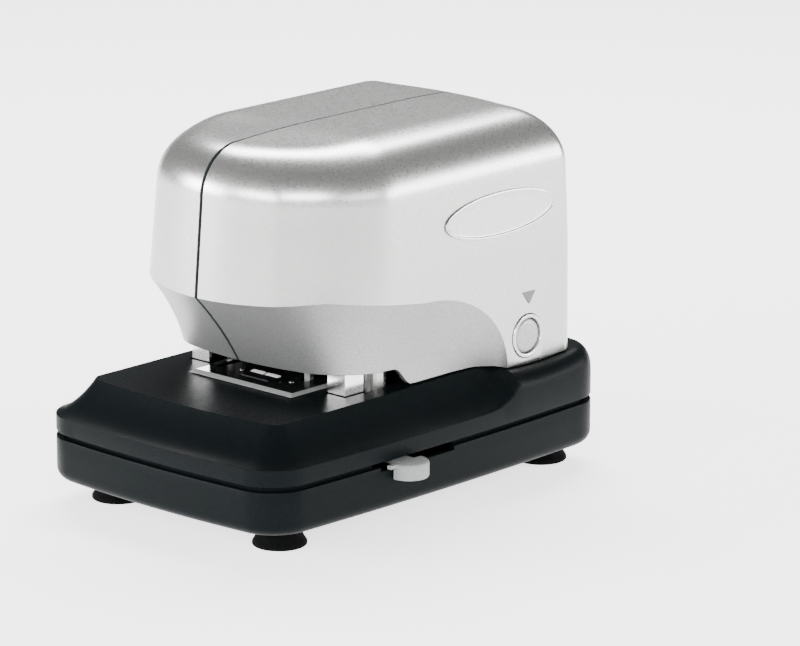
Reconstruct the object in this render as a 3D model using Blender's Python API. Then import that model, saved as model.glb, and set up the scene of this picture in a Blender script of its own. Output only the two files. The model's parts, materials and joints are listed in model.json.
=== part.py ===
"""Electric stapler: silver two-part head on a black base, with its drive, cartridge and depth guide.

Written in millimetres and placed in metres. Building frame: x from the middle plane (right +),
y from the front of the base, z from the table top. The frame empty moves it onto the origin.
"""

import math

import bmesh
import bpy
from mathutils import Vector

MM = 0.001

# Driving dimensions
BASE_LENGTH = 190.0
BASE_HALF_WIDTH = 65.0
BASE_CORNER = 14.6
KNOB_REACH = 8.8
FOOT_HEIGHT = 9.0
TUB_TOP = 26.45
BAND_LOW = 28.4
BAND_TOP = 34.8
TABLE_Z = 47.8
TABLE_INSET = 15.7
KNOB_SLOT_Z = 24.9
KNOB_TOP = 27.0
HEAD_HALF_WIDTH = 56.4
HEAD_TOP = 143.7
HEAD_REAR = 181.9
HEAD_FRONT = 25.3
CREASE_Z = 86.3
SKIRT_FRONT = 47.4
SKIRT_HALF_WIDTH = 47.8
SKIRT_DROP = 28.7
SIDE_DRAFT = 0.058
SIDE_FILLET = 22.8
REAR_FILLET = 21.4
WALL = 2.2
SEAM_HALF_GAP = 0.35
GAP = 0.3

STAPLE_LINE_Y = 58.8
BLADE_HALF_THICK = 0.3
PLATE_X = 22.2
PLATE_THICK = 1.6
CAM_Y, CAM_Z = 56.0, 122.0
CAM_BASE_R = 5.0
DRIVER_STROKE = 12.0
GUIDE_TOP = CAM_Z - CAM_BASE_R - DRIVER_STROKE - 1.0
GEAR_MODULE = 1.0
CAM_TEETH, IDLER_TEETH, PINION_TEETH = 28, 24, 8
IDLER_Y, IDLER_Z = 78.0, 108.1
MOTOR_Y, MOTOR_Z = 93.2, 103.1
SHAFT_R = 3.0
ROLL_Y, ROLL_Z = 112.0, 88.0
ROLL_R = 25.0
TIE_RODS = {"lower": (140, 26), "middle": (118, 52), "upper": (120, 131)}
BUTTON_Y, BUTTON_Z, BUTTON_R = 148.2, 57.8, 6.8
FEET = {"front_left": (-43, 25), "front_right": (43, 25), "rear_left": (-41, 174), "rear_right": (41, 174)}

FINISHES = {
    "silver_paint": ((0.60, 0.61, 0.62), 0.35, 0.7),
    "black_plastic": ((0.030, 0.031, 0.034), 0.45, 0.0),
    "grey_plastic": ((0.40, 0.41, 0.41), 0.5, 0.0),
    "rubber": ((0.02, 0.02, 0.02), 0.85, 0.0),
    "steel": ((0.62, 0.62, 0.62), 0.3, 1.0),
    "bright_steel": ((0.80, 0.80, 0.80), 0.12, 1.0),
    "plate_paint": ((0.62, 0.63, 0.63), 0.35, 0.5),
    "brass": ((0.70, 0.55, 0.28), 0.35, 1.0),
    "nylon": ((0.80, 0.79, 0.74), 0.5, 0.0),
    "board_green": ((0.05, 0.22, 0.10), 0.5, 0.0),
    "clear_plastic": ((0.75, 0.78, 0.78), 0.1, 0.0),
    "copper": ((0.55, 0.28, 0.15), 0.4, 1.0),
}


def clear_scene():
    for obj in list(bpy.data.objects):
        bpy.data.objects.remove(obj, do_unlink=True)


def make_material(slot):
    colour, roughness, metallic = FINISHES[slot]
    material = bpy.data.materials.new(slot)
    material.use_nodes = True
    shader = material.node_tree.nodes["Principled BSDF"]
    shader.inputs["Base Color"].default_value = (*colour, 1.0)
    shader.inputs["Roughness"].default_value = roughness
    shader.inputs["Metallic"].default_value = metallic
    return material


clear_scene()
MATERIALS = {slot: make_material(slot) for slot in FINISHES}
FRAME = bpy.data.objects.new("stapler_frame", None)
FRAME.location = (-KNOB_REACH / 2 * MM, -BASE_LENGTH / 2 * MM, 0.0)
bpy.context.scene.collection.objects.link(FRAME)


def add(name, points, faces, slot, origin=(0, 0, 0), smooth=40):
    """One closed piece from points in millimetres; origin is where its joint's axis passes."""
    mesh = bpy.data.meshes.new(name)
    centre = Vector(origin)
    mesh.from_pydata([(Vector(p) - centre) * MM for p in points], [], faces)
    shape = bmesh.new()
    shape.from_mesh(mesh)
    bmesh.ops.recalc_face_normals(shape, faces=shape.faces)
    shape.to_mesh(mesh)
    shape.free()
    obj = bpy.data.objects.new(name, mesh)
    bpy.context.scene.collection.objects.link(obj)
    obj.parent = FRAME
    obj.location = centre * MM
    mesh.materials.append(MATERIALS[slot])
    mesh.shade_smooth()
    mesh.set_sharp_from_angle(angle=math.radians(smooth))
    return obj


def on_axis(axis, along, first, second):
    """A point from its place along an axis and its two other coordinates, in X, Y, Z order."""
    return {"X": (along, first, second), "Y": (first, along, second), "Z": (first, second, along)}[axis]


def prism(name, outline, axis, low, high, slot, origin=(0, 0, 0)):
    """A closed outline, in the two coordinates across the axis, drawn out from low to high."""
    count = len(outline)
    points = [on_axis(axis, level, *p) for level in (low, high) for p in outline]
    faces = [tuple(range(count)), tuple(range(count, 2 * count))]
    faces += [(i, (i + 1) % count, count + (i + 1) % count, count + i) for i in range(count)]
    return add(name, points, faces, slot, origin)


def rectangle(low, high):
    return [(low[0], low[1]), (high[0], low[1]), (high[0], high[1]), (low[0], high[1])]


def block(name, low, high, slot, origin=(0, 0, 0), edge=0.0):
    obj = prism(name, rectangle(low, high), "Z", low[2], high[2], slot, origin)
    if edge:
        bevel = obj.modifiers.new("edges", "BEVEL")
        bevel.width = edge * MM
        bevel.segments = 1
    return obj


def circle(first, second, radius, segments=20, start=0.0):
    turns = [start + 2 * math.pi * i / segments for i in range(segments)]
    return [(first + radius * math.cos(t), second + radius * math.sin(t)) for t in turns]


def rod(name, axis, first, second, radius, low, high, slot, origin=(0, 0, 0), segments=16):
    return prism(name, circle(first, second, radius, segments), axis, low, high, slot, origin)


def rungs(first, count):
    """A cap for a mirrored loop that starts at its front middle: strips from left to right."""
    half = count // 2
    faces = [(first, first + 1, first + count - 1)]
    faces += [(first + i, first + i + 1, first + count - i - 1, first + count - i) for i in range(1, half - 1)]
    return faces + [(first + half - 1, first + half, first + half + 1)]


def loops_to_body(name, loops, slot, origin=(0, 0, 0), close=False, smooth=40, twin=False):
    """Loops of equal length joined one to the next, and capped at both ends or closed on themselves.

    A twin body's loops are mirrored outlines, and its caps run from side to side.
    """
    count = len(loops[0])
    points = [p for loop in loops for p in loop]
    faces = []
    for k in range(len(loops) if close else len(loops) - 1):
        a, b = k * count, ((k + 1) % len(loops)) * count
        faces += [(a + i, a + (i + 1) % count, b + (i + 1) % count, b + i) for i in range(count)]
    if twin:
        faces += rungs(0, count) + rungs(len(points) - count, count)
    elif not close:
        faces += [tuple(range(count)), tuple(range(len(points) - count, len(points)))]
    return add(name, points, faces, slot, origin, smooth)


def turned(name, profile, axis, first, second, slot, origin=(0, 0, 0), segments=20, ring=False):
    """A (radius, place along the axis) profile turned about the axis; a ring's profile closes."""
    loops = [
        [on_axis(axis, along, *p) for p in circle(first, second, radius, segments)]
        for radius, along in profile
    ]
    return loops_to_body(name, loops, slot, origin, close=ring)


def combine(obj, tool, operation="DIFFERENCE"):
    """Cuts or joins a helper shape with an exact Boolean. The helper isn't part of the model."""
    tool.hide_render = True
    tool.display_type = "WIRE"
    modifier = obj.modifiers.new(tool.name, "BOOLEAN")
    modifier.operation = operation
    modifier.object = tool
    modifier.solver = "EXACT"


def cut_block(obj, name, low, high):
    combine(obj, block("cut_" + name, low, high, "steel"))


def cut_rod(obj, name, axis, first, second, radius, low, high, segments=16):
    combine(obj, rod("cut_" + name, axis, first, second, radius, low, high, "steel", segments=segments))


def join_block(obj, name, low, high):
    combine(obj, block("join_" + name, low, high, "steel"), "UNION")


# ---------------------------------------------------------------- outlines of base and head


def mirrored(half):
    """A full loop from the right half of an outline, which runs from the front middle to the rear."""
    return half + [(-x, y, *rest) for x, y, *rest in reversed(half[1:-1])]


def corner_curve(start, corner, end, steps):
    """A round corner as a cubic curve that is close to an arc, without its two end points."""
    arm = 0.5523
    first = [s + (c - s) * arm for s, c in zip(start, corner)]
    second = [e + (c - e) * arm for e, c in zip(end, corner)]
    found = []
    for i in range(1, steps):
        t = i / steps
        weights = ((1 - t) ** 3, 3 * (1 - t) ** 2 * t, 3 * (1 - t) * t * t, t**3)
        found.append(
            tuple(sum(w * p[k] for w, p in zip(weights, (start, first, second, end))) for k in (0, 1))
        )
    return found


def half_outline(half, front, rear, bows, radii, side_shares, steps=(4, 5, 3)):
    """Right half of a plan outline with bowed front, sides and rear, and round corners."""
    bow_front, bow_side, bow_rear = bows
    middle, reach = (front + rear) / 2, (rear - front) / 2

    def side(y):
        return half - bow_side * ((y - middle) / reach) ** 2

    def front_y(x):
        return front + bow_front * (x / half) ** 2

    def rear_y(x):
        return rear - bow_rear * (x / half) ** 2

    end = side(front)
    turn_front, turn_rear = end - radii[0], end - radii[1]
    low, high = front_y(end) + radii[0], rear_y(end) - radii[1]
    outline = [(turn_front * i / steps[0], front_y(turn_front * i / steps[0])) for i in range(steps[0] + 1)]
    outline += corner_curve(outline[-1], (end, front_y(end)), (side(low), low), steps[1])
    outline += [(side(low + (high - low) * s), low + (high - low) * s) for s in side_shares]
    outline += corner_curve(outline[-1], (end, rear_y(end)), (turn_rear, rear_y(turn_rear)), steps[2])
    outline += [(turn_rear * i / 3, rear_y(turn_rear * i / 3)) for i in (3, 2, 1, 0)]
    return outline


BASE_SHARES = [0.0, 0.3, 0.52, 0.6, 0.66, 0.72, 0.765, 0.79, 0.8, 0.9, 1.0]


def base_outline(inset):
    """The base's plan outline, drawn in by inset all round."""
    bows = (3.5, 3.0 * (1 - inset / 20), 2.0)
    corner = max(BASE_CORNER - inset * 0.65, 4)
    half = BASE_HALF_WIDTH - inset
    return half_outline(half, inset, BASE_LENGTH - inset, bows, (corner, corner), BASE_SHARES)


def base_loop(inset, height):
    return mirrored([(x, y, height) for x, y in base_outline(inset)])


# ---------------------------------------------------------------- base


def make_tub():
    loops = [base_loop(2.5, level) for level in (11.5, TUB_TOP)]
    loops += [base_loop(0, TUB_TOP), base_loop(0, 14.0), base_loop(1.5, 10.5), base_loop(5.0, FOOT_HEIGHT)]
    tub = loops_to_body("base_tub", loops, "black_plastic", twin=True)
    cut_block(tub, "knob_slot", (58, 57, KNOB_SLOT_Z), (70, 97, 30))
    cut_block(tub, "inlet_hole", (29, 180, 12.3), (51.6, 200, 25.2))
    cut_block(tub, "switch_hole", (-48.6, 180, 12.3), (-27.4, 200, 25.2))
    for place, (x, y) in FEET.items():
        cut_rod(tub, "tub_" + place, "Z", x, y, 2.2, 5, 20, 10)


def scoop_end(y):
    """How far the side has risen from the scoop, 0, to the rear shoulder, 1, as a quarter circle."""
    share = min(max((y - 110.0) / 24.0, 0.0), 1.0)
    return 1 - math.sqrt(1 - share * share)


def table_height(y):
    """The table is level in front and dips a little where the head's side walls stand."""
    if y < 126:
        return TABLE_Z
    return TABLE_Z - 1.9 * math.sin(math.pi * min((y - 126) / 50.0, 1.0))


def cover_point(outer, inner, share):
    """A point between the base's outline and the table's edge: scoop in front, round shoulder behind."""
    x = outer[0] + (inner[0] - outer[0]) * share
    y = outer[1] + (inner[1] - outer[1]) * share
    top = table_height(y)
    hollow = BAND_TOP + (top - BAND_TOP) * (0.30 * share + 0.70 * share**1.9)
    inward = min(share * 2.1, 1.0)
    shoulder = 38.5 + (top - 38.5) * math.sqrt(1 - (1 - inward) ** 2)
    rise = scoop_end(outer[1])
    return x, y, hollow + (shoulder - hollow) * rise


def table_outline(inset=0.0):
    return half_outline(
        BASE_HALF_WIDTH - TABLE_INSET - inset,
        14.3 + inset,
        BASE_LENGTH - 9.0 - inset,
        (3.0, 0.0, 2.0),
        (5.0, 5.0),
        BASE_SHARES,
    )


def make_cover():
    """The base's upper shell with a lip that hangs inside the tub, then its openings."""
    outer = base_outline(0)
    edge = table_outline()
    shares = (1.0, 0.85, 0.7, 0.5, 0.3, 0.12, 0.0)
    top = [mirrored([cover_point(o, i, s) for o, i in zip(outer, edge)]) for s in shares]
    lip = [base_loop(0, BAND_LOW), base_loop(2.8, BAND_LOW), base_loop(2.8, 22.5), base_loop(4.6, 22.5)]
    inside = [base_loop(4.6, 30.0)]
    ceiling = table_outline(2.0)
    inside += [
        mirrored(
            [(x, y, z - 2.5) for x, y, z in (cover_point(o, i, s) for o, i in zip(base_outline(3.0), ceiling))]
        )
        for s in (0.3, 0.6, 1.0)
    ]
    cover = loops_to_body("base_cover", top + lip + inside, "black_plastic", twin=True)
    cut_block(cover, "knob_lip", (50, 55, 20), (70, 99, 27.3))
    cut_block(cover, "inlet_lip", (29, 180, 20), (51.6, 188.5, 25.4))
    cut_block(cover, "switch_lip", (-48.6, 180, 20), (-27.4, 188.5, 25.4))
    cut_block(cover, "chassis_opening", (-46, 106, 40), (46, 170, 60))
    cut_block(cover, "clincher_opening", (-13, 51.5, 40), (17.5, 90, 60))
    for side in (-1, 1):
        cut_block(cover, f"stop_slot_{side}", (side * 36 - 5.4, 62, 40), (side * 36 + 5.4, 103.5, 60))


def make_feet():
    foot = [(4.4, 0), (10.3, 0), (10.3, 1.2), (8.4, 5.0), (8.0, FOOT_HEIGHT - GAP), (2.2, FOOT_HEIGHT - GAP)]
    foot += [(2.2, 4.0), (4.4, 4.0)]
    for place, (x, y) in FEET.items():
        turned("foot_" + place, foot, "Z", x, y, "rubber", segments=24, ring=True)
        screw = [(3.9, 1.5), (3.9, 3.7), (1.7, 3.7), (1.7, 17.0)]
        turned("foot_screw_" + place, screw, "Z", x, y, "steel", segments=10)


# ---------------------------------------------------------------- head


def crease_height(y):
    """The crease falls slowly along the side, then turns down in an elliptic sweep to the base."""
    if y < 47:
        return CREASE_Z + 1.7 * max(y - HEAD_FRONT, 0) / 21.7
    if y < 91:
        return 88 - 6.3 * (y - 47) / 44
    share = min((y - 91) / 45.7, 1.0)
    return 47.7 + 34.0 * math.sqrt(1 - share * share)


def lower_edge_height(y):
    """The skirt's lower edge: over the throat in front, down to the table behind it."""
    if y < 82:
        return 57.8 - 1.8 * max(y - 47, 0) / 35
    if y < 92:
        return 56.0 - 7.6 * (1 - math.cos(math.pi * (y - 82) / 10)) / 2
    return 48.4 - 1.9 * math.sin(math.pi * min(max(y - 126, 0) / 50.0, 1.0))


HEAD_STATIONS = [74.5, 83, 87, 91] + [91 + 45.7 * math.sin(math.pi / 16 * i) for i in range(1, 9)] + [169.6]
HEAD_STEPS = (5, 6, 2)


def head_outline(half, front, rear, bows, radii):
    """A right half outline of the head, with side points that follow the crease's sweep."""
    low, high = HEAD_STATIONS[0], HEAD_STATIONS[-1]
    shares = [(y - low) / (high - low) for y in HEAD_STATIONS]
    return half_outline(half, front, rear, bows, radii, shares, HEAD_STEPS)


def head_plan(wall=0.0):
    """The head's right half outline at the crease."""
    front, rear = HEAD_FRONT + wall, HEAD_REAR - wall
    return head_outline(HEAD_HALF_WIDTH - wall, front, rear, (24.9, 0.0, 7.3), (24.3, 5.0))


def skirt_plan(wall=0.0):
    """The right half outline of the skirt's lower edge: narrow over the throat, full width behind."""
    plan = head_plan(wall)
    narrow = SKIRT_HALF_WIDTH - wall
    front = head_outline(narrow, SKIRT_FRONT + wall, HEAD_REAR, (10.0, 0.0, 7.3), (17.0, 5.0))
    turn = HEAD_STEPS[0] + HEAD_STEPS[1]
    behind = []
    for x, y in plan[turn:]:
        share = min(max(crease_height(y) - lower_edge_height(y), 0) / SKIRT_DROP, 1.0)
        behind.append((x - (HEAD_HALF_WIDTH - SKIRT_HALF_WIDTH) * share, y))
    return front[:turn] + behind


def side_wall(height):
    """The head's half width at a height above the crease and below the top's fillet."""
    return HEAD_HALF_WIDTH - SIDE_DRAFT * (height - CREASE_Z)


def head_section(height, wall=0.0):
    """The head's plan outline at a height above the crease: draft, then the top's fillets."""
    top = HEAD_TOP - wall

    def fillet(radius):
        over = height - (top - radius)
        return 0.0 if over <= 0 else radius - math.sqrt(max(radius * radius - over * over, 0.0))

    half = side_wall(height) - wall - fillet(SIDE_FILLET - wall)
    front = HEAD_FRONT + wall + 3.3 * max(height - CREASE_Z, 0) / 37 + fillet(15.0 - wall)
    rear = HEAD_REAR - wall - fillet(REAR_FILLET - wall)
    plan = head_plan(wall)
    scale_x = half / (HEAD_HALF_WIDTH - wall)
    old_front, old_rear = HEAD_FRONT + wall, HEAD_REAR - wall
    stretch = (rear - front) / (old_rear - old_front)
    return [(x * scale_x, front + (y - old_front) * stretch, height) for x, y in plan]


def skirt_loop(share, wall=0.0):
    """Between crease, 0, and lower edge, 1: the skirt slopes inwards and is a little hollow."""
    loop = []
    for (x, y), (low_x, low_y) in zip(head_plan(wall), skirt_plan(wall)):
        low = lower_edge_height(low_y)
        high = max(crease_height(y), low)
        slope = Vector((low_x - x, low_y - y))
        hollow = 6.0 * share * (1 - share) * min((high - low) / SKIRT_DROP, 1.0)
        inwards = slope * share + slope.normalized() * hollow if slope.length else slope
        loop.append((x + inwards.x, y + inwards.y, high + (low - high) * share))
    return loop


def make_head():
    """A whole hollow head, cut along the middle plane into two shells."""
    fillets = [HEAD_TOP - SIDE_FILLET * (1 - math.sin(math.radians(a))) for a in (0, 25, 45, 62, 77, 90)]
    levels = [97.0] + fillets
    crown = [(x * 0.45, 102 + (y - 102) * 0.75, HEAD_TOP) for x, y, z in head_section(HEAD_TOP)]
    outer = [crown] + [head_section(z) for z in reversed(levels)] + [skirt_loop(s) for s in (0, 0.5, 1)]
    inner_fillets = [z - WALL for z in fillets[::2]]
    inner = [skirt_loop(s, WALL) for s in (1, 0)] + [head_section(97.0, WALL)]
    inner += [head_section(z, WALL) for z in inner_fillets]
    inner += [head_section(HEAD_TOP - WALL, WALL)]
    loops = [mirrored(loop) for loop in outer + inner]
    for side, sign in (("left", -1), ("right", 1)):
        shell = loops_to_body("head_shell_" + side, loops, "silver_paint", smooth=30, twin=True)
        other = (-sign * 80, -10, 0) if sign > 0 else (-SEAM_HALF_GAP, -10, 0)
        far = (SEAM_HALF_GAP, 200, 160) if sign > 0 else (80, 200, 160)
        cut_block(shell, "half_" + side, other, far)
        cut_block(shell, "mouth_" + side, (-23, 170, 52), (23, 190, 118))
        if sign > 0:
            cut_rod(shell, "button_hole", "X", BUTTON_Y, BUTTON_Z, 8.9, 40, 70, 28)


def make_badge():
    """The oval plate on the right side, just off the wall and leaning with it."""
    turns = [2 * math.pi * i / 36 for i in range(36)]
    oval = [(133.2 + 31.0 * math.cos(t), 108.4 + 8.6 * math.sin(t)) for t in turns]
    loops = [[(side_wall(z) + off, y, z) for y, z in oval] for off in (0.3, 0.9)]
    loops_to_body("badge_plate", loops, "silver_paint")


# ---------------------------------------------------------------- steel frame


def make_frame_plates():
    """Two C-shaped side plates: a low arm under the table, a riser and a high arm over the throat."""
    outline = [(50, 22), (56, 18), (160, 18), (160, 128), (152, 136), (66, 136), (48, 128), (48, 76), (54, 62.5)]
    outline += [(110, 62.5), (110, 36), (50, 36)]
    for side, sign in (("left", -1), ("right", 1)):
        low, high = sorted((sign * PLATE_X, sign * (PLATE_X + PLATE_THICK)))
        plate = prism("frame_plate_" + side, outline, "X", low, high, "steel")
        cut_rod(plate, "shaft_" + side, "X", CAM_Y, CAM_Z, SHAFT_R + 0.25, -40, 40)
        for place, (y, z) in TIE_RODS.items():
            cut_rod(plate, f"tie_{place}_{side}", "X", y, z, 2.3, -40, 40, 12)
    for place, (y, z) in TIE_RODS.items():
        rod("tie_rod_" + place, "X", y, z, 2.0, -25.2, 25.2, "steel", segments=12)



# ---------------------------------------------------------------- drive


def gear_outline(first, second, teeth, phase):
    """Straight-sided teeth of module GEAR_MODULE, one of them centred on the angle phase."""
    radius = GEAR_MODULE * teeth / 2
    pitch = 2 * math.pi / teeth
    shape = ((-0.25, -1.1), (-0.11, 0.85), (0.11, 0.85), (0.25, -1.1))
    outline = []
    for tooth in range(teeth):
        for share, height in shape:
            angle = phase + (tooth + share) * pitch
            reach = radius + height * GEAR_MODULE
            outline.append((first + reach * math.cos(angle), second + reach * math.sin(angle)))
    return outline


def meshing_phase(phase, teeth, direction, next_teeth):
    """The next gear's tooth angle, so that its gap faces a tooth of the first along direction."""
    lead = (direction - phase) / (2 * math.pi / teeth)
    return direction + math.pi - (0.5 - lead) * 2 * math.pi / next_teeth


def make_gears():
    to_idler = math.atan2(IDLER_Z - CAM_Z, IDLER_Y - CAM_Y)
    to_motor = math.atan2(MOTOR_Z - IDLER_Z, MOTOR_Y - IDLER_Y)
    idler_phase = meshing_phase(to_idler, CAM_TEETH, to_idler, IDLER_TEETH)
    pinion_phase = meshing_phase(idler_phase, IDLER_TEETH, to_motor, PINION_TEETH)
    rows = (
        ("cam_gear", CAM_Y, CAM_Z, CAM_TEETH, to_idler, SHAFT_R + GAP, "nylon"),
        ("idler_gear", IDLER_Y, IDLER_Z, IDLER_TEETH, idler_phase, 2.3, "nylon"),
        ("motor_pinion", MOTOR_Y, MOTOR_Z, PINION_TEETH, pinion_phase, 1.3, "brass"),
    )
    for name, y, z, teeth, phase, bore, slot in rows:
        gear = prism(name, gear_outline(y, z, teeth, phase), "X", -30.5, -25.5, slot, (-28, y, z))
        cut_rod(gear, name + "_bore", "X", y, z, bore, -35, -20, 12)


def cam_outline():
    """A heart: the radius grows evenly by the driver's stroke over each half turn."""
    outline = []
    steps = 32
    for i in range(steps):
        from_low = abs(i - steps / 2) / (steps / 2)
        radius = CAM_BASE_R + DRIVER_STROKE * (1 - from_low)
        angle = -math.pi / 2 + 2 * math.pi * i / steps
        outline.append((CAM_Y + radius * math.cos(angle), CAM_Z + radius * math.sin(angle)))
    return outline


def make_drive():
    axis = (0, CAM_Y, CAM_Z)
    rod("drive_shaft", "X", CAM_Y, CAM_Z, SHAFT_R, -32, 25.5, "steel", axis)
    cam = prism("drive_cam", cam_outline(), "X", -5, 5, "steel", axis)
    cut_rod(cam, "cam_bore", "X", CAM_Y, CAM_Z, SHAFT_R + GAP, -20, 20)
    make_gears()
    rod("idler_axle", "X", IDLER_Y, IDLER_Z, 2.0, -31.6, -24.1, "steel", segments=12)
    body = [(14, -51), (14, -33.6), (5, -33.6), (5, -31.8)]
    turned("motor", body, "X", MOTOR_Y, MOTOR_Z, "steel", segments=28)
    rod("motor_shaft", "X", MOTOR_Y, MOTOR_Z, 1.0, -31.4, -24.6, "bright_steel", segments=10)
    bracket = [(100, 86), (112, 86), (118, 92), (118, 122), (86, 122), (86, 112)]
    plate = prism("motor_bracket", bracket, "X", -33.3, -32.2, "steel")
    cut_rod(plate, "motor_boss", "X", MOTOR_Y, MOTOR_Z, 5.3, -40, -25, 20)
    for place, (y, z) in {"upper": (112, 118), "lower": (112, 90)}.items():
        rod("motor_spacer_" + place, "X", y, z, 2.0, -31.9, -24.1, "steel", segments=10)


def make_driver():
    """The driver hangs under the cam, with the thin blade behind it on the staple line.

    The guide stops below the lowest place that the cam's nose reaches.
    """
    top = CAM_Z - CAM_BASE_R - 1.4
    driver = block("driver_block", (-13, 53.5, 84), (13, 58.2, top), "steel")
    join_block(driver, "driver_wings", (-21, 53.5, 100), (21, 58.2, 110))
    front, back = STAPLE_LINE_Y - BLADE_HALF_THICK, STAPLE_LINE_Y + BLADE_HALF_THICK
    block("driver_blade", (-6.3, front, 61.8), (6.3, back, 96), "bright_steel")
    guide = block("driver_guide", (-21.8, 50.4, 63), (21.8, 53.2, GUIDE_TOP), "steel")
    join_block(guide, "spring_shelf", (-21.8, 52, 63), (21.8, 58.2, 70))
    for side, sign in (("left", -1), ("right", 1)):
        make_spring("return_spring_" + side, sign * 17.4, 55.9, 70.3, 99.7)


def make_spring(name, x, y, low, high):
    """A vertical coil of round wire."""
    wire, radius, turns, per_turn, sides = 0.45, 1.8, 7, 10, 5
    loops = []
    for i in range(turns * per_turn + 1):
        angle = 2 * math.pi * i / per_turn
        middle_z = low + wire + (high - low - 2 * wire) * i / (turns * per_turn)
        loop = []
        for k in range(sides):
            around = 2 * math.pi * k / sides
            reach = radius + wire * math.cos(around)
            loop.append((x + reach * math.cos(angle), y + reach * math.sin(angle),
                         middle_z + wire * math.sin(around)))
        loops.append(loop)
    return loops_to_body(name, loops, "steel")


# ---------------------------------------------------------------- table plate and clincher


def make_table_plate():
    """The bevelled plate in the throat, its staple window and the bright insert in it."""
    low, high = TABLE_Z + GAP, TABLE_Z + 1.4
    outer = [(-27, 48), (27, 48), (27, 91), (-27, 91)]
    inner = [(-25.5, 50), (25.5, 50), (25.5, 91), (-25.5, 91)]
    loops = [[(x, y, low) for x, y in outer], [(x, y, low + 0.2) for x, y in outer]]
    loops += [[(x, y, high) for x, y in inner]]
    plate = loops_to_body("anvil_plate", loops, "plate_paint")
    cut_block(plate, "staple_window", (-7.6, 55.5, 40), (7.6, 63.5, 60))
    cut_block(plate, "lever_window", (11.5, 66, 40), (16.5, 89, 60))
    insert = block("anvil_insert", (-7.3, 55.8, TABLE_Z - 2.0), (7.3, 63.2, TABLE_Z + 1.6), "bright_steel")
    cut_block(insert, "clincher_slot", (-6.4, 57.6, 40), (6.4, 60.2, 60))


def make_clincher():
    """A housing under the table with two arms that fold the staple's legs inwards."""
    housing = block("clincher_housing", (-21.8, 52, 24), (21.8, 66, 41.5), "steel")
    cut_block(housing, "arm_pocket", (-9.4, 57.5, 26), (9.4, 60.3, 60))
    for side, sign in (("left", -1), ("right", 1)):
        outline = [(7.6, 33.6), (7.6, 38.4), (6.2, 40.2), (5.8, 46.6), (4.7, 47.2), (4.6, 40.0), (4.4, 33.6)]
        outline = [(sign * x, z) for x, z in outline]
        prism("clincher_arm_" + side, outline, "Y", 57.9, 59.9, "bright_steel", (sign * 6, 58.9, 35.5))


# ---------------------------------------------------------------- depth guide


def make_depth_guide():
    """The carriage under the table carries both paper stops, their posts and the outside knob."""
    carriage = block("guide_carriage", (-41.4, 63, 38), (-30.6, 92, 40), "steel")
    join_block(carriage, "carriage_right", (30.6, 63, 38), (48, 92, 40))
    join_block(carriage, "carriage_bar", (-41.4, 85, 38), (48, 92, 40))
    join_block(carriage, "carriage_leg", (46, 66.5, 21.3), (48, 74.5, 40))
    for side, sign in (("left", -1), ("right", 1)):
        low, high = sorted((sign * 31.5, sign * 40.5))
        stop = block("paper_stop_" + side, (low, 63, 40.3), (high, 64.5, 66), "bright_steel")
        inner, outer = sorted((sign * 39, sign * 40.5))
        join_block(stop, "stop_side_" + side, (inner, 63, 40.3), (outer, 73, 66))
        rod("guide_post_" + side, "Z", sign * 36.5, 83.5, 4.3, 40.3, 64, "steel", segments=20)
    make_knob()


def make_knob():
    """A half-round grip outside the wall and a flat stem that passes in at the base's seam."""
    start = 65.6
    arc = [math.radians(a) for a in range(-90, 91, 15)]
    grip = [(start + 8.2 * math.cos(a), 70.5 + 7.8 * math.sin(a)) for a in arc]
    knob = prism("depth_knob", grip, "Z", 20.7, KNOB_TOP, "grey_plastic")
    join_block(knob, "knob_stem", (48.4, 66.6, KNOB_SLOT_Z + GAP), (start + 1, 74.4, KNOB_TOP - 0.2))


# ---------------------------------------------------------------- cartridge


def drum_outline(radius, nose_low, nose_high, nose_y):
    """A round drum with a flat nose that runs forward from its foot."""
    start = math.asin((ROLL_Z - nose_high) / radius)
    low = math.asin((ROLL_Z - nose_low) / radius)
    first, last = math.pi + start, math.pi + low - 2 * math.pi
    steps = 26
    outline = [(nose_y, nose_low), (nose_y, nose_high)]
    for i in range(steps + 1):
        angle = first + (last - first) * i / steps
        outline.append((ROLL_Y + radius * math.cos(angle), ROLL_Z + radius * math.sin(angle)))
    return outline


def make_cartridge():
    case = prism("cartridge_case", drum_outline(27, 61.5, 69, 60), "X", -19.5, 19.5, "clear_plastic")
    combine(case, rod("cut_drum_room", "X", ROLL_Y, ROLL_Z, 25.4, -18, 18, "steel", segments=28))
    cut_block(case, "strip_channel", (-7.0, 55, 62.8), (7.0, 100, 66.2))
    roll = [(8, -6.3), (ROLL_R, -6.3), (ROLL_R, 6.3), (8, 6.3)]
    turned("staple_roll", roll, "X", ROLL_Y, ROLL_Z, "steel", (0, ROLL_Y, ROLL_Z), 28, ring=True)
    block("staple_strip", (-6.35, 60.5, 63.4), (6.35, 92, 64.4), "bright_steel")
    drawer = block("cartridge_drawer", (-21.2, 66, 58.6), (21.2, 176.5, 60.6), "grey_plastic")
    join_block(drawer, "drawer_front", (-22.5, 175.2, 52.6), (22.5, 180.2, 117.4))
    join_block(drawer, "drawer_grip", (-12, 176, 108), (12, 184.5, 111))
    for side, sign in (("left", -1), ("right", 1)):
        low, high = sorted((sign * 19.9, sign * 21.2))
        join_block(drawer, "drawer_side_" + side, (low, 66, 59), (high, 172, 63))


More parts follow.
